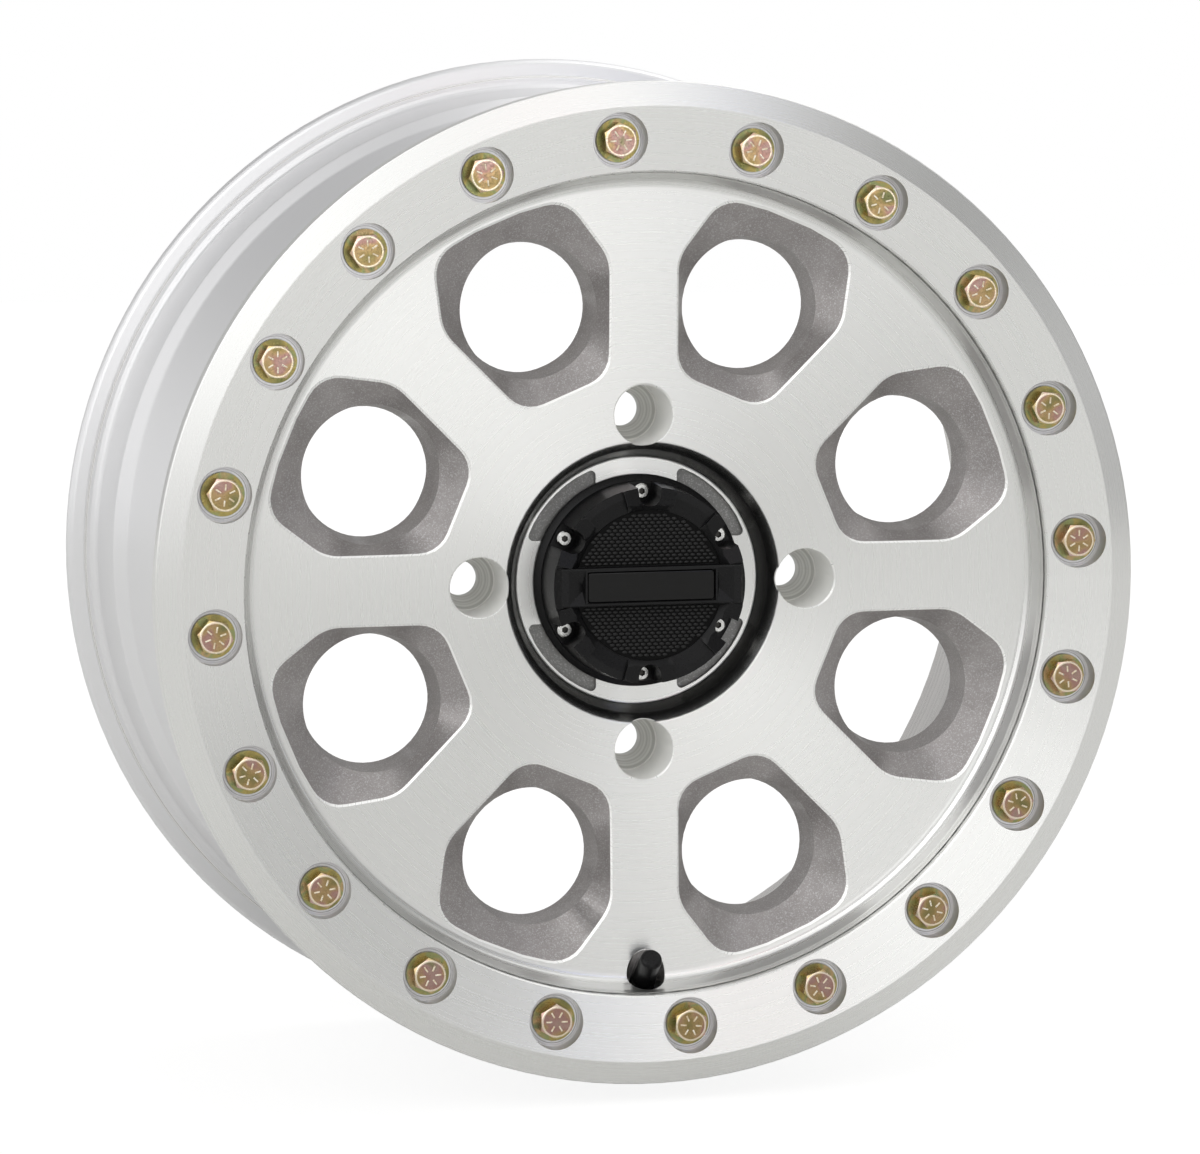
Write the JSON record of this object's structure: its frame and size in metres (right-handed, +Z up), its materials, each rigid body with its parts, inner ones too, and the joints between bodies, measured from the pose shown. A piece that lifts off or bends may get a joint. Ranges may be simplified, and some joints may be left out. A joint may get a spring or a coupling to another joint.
{
  "type": "beadlock wheel",
  "caption": "Cast aluminium off-road wheel with eight windows, a bolted bead clamping ring, a screwed centre cap and a rubber snap-in valve.",
  "frame": {"origin": "the wheel's centre, on its axis halfway between the clamp ring's crown and the rear flange's back", "axes": "+Y along the axle, from the machined face towards the back that bolts to the hub; +Z up, with the valve at the bottom; +X to the right seen from the face"},
  "size_m": [0.4228, 0.2039, 0.4228],
  "materials": {
    "aluminium": "machined face, satin painted recesses",
    "ring_aluminium": "machined",
    "zinc": "yellow zinc plated steel",
    "black_plastic": "satin",
    "badge_plastic": "gloss",
    "weave_plastic": "woven texture",
    "stainless": "polished",
    "rubber": "moulded rubber",
    "brass": "turned brass",
    "valve_cap_plastic": "moulded plastic",
    "gasket": "sealing plastic"
  },
  "bodies": {
    "wheel": {"wheel_casting": "aluminium", "beadlock_ring": "ring_aluminium", "ring_bolts": "zinc", "ring_washers": "zinc", "cap_base": "black_plastic", "cap_cover": "black_plastic", "cap_badge": "badge_plastic", "cap_insert_upper": "weave_plastic", "cap_insert_lower": "weave_plastic", "cap_screws": "stainless", "cap_clip_ring": "stainless", "valve_stem": "rubber", "valve_tube": "brass", "valve_core": "brass", "valve_core_gasket": "gasket", "valve_spring": "stainless", "valve_cap": "valve_cap_plastic", "valve_cap_seal": "rubber"},
    "valve_pin": {"valve_pin": "brass", "valve_pin_seal": "rubber"}
  },
  "joints": [
    {"name": "valve_press", "type": "slide", "parent": "wheel", "child": "valve_pin", "axis": [0, 0.766, -0.6428], "range_m": [0, 0.0012], "stiffness_N_per_m": 3000, "springref_m": -0.001}
  ]
}
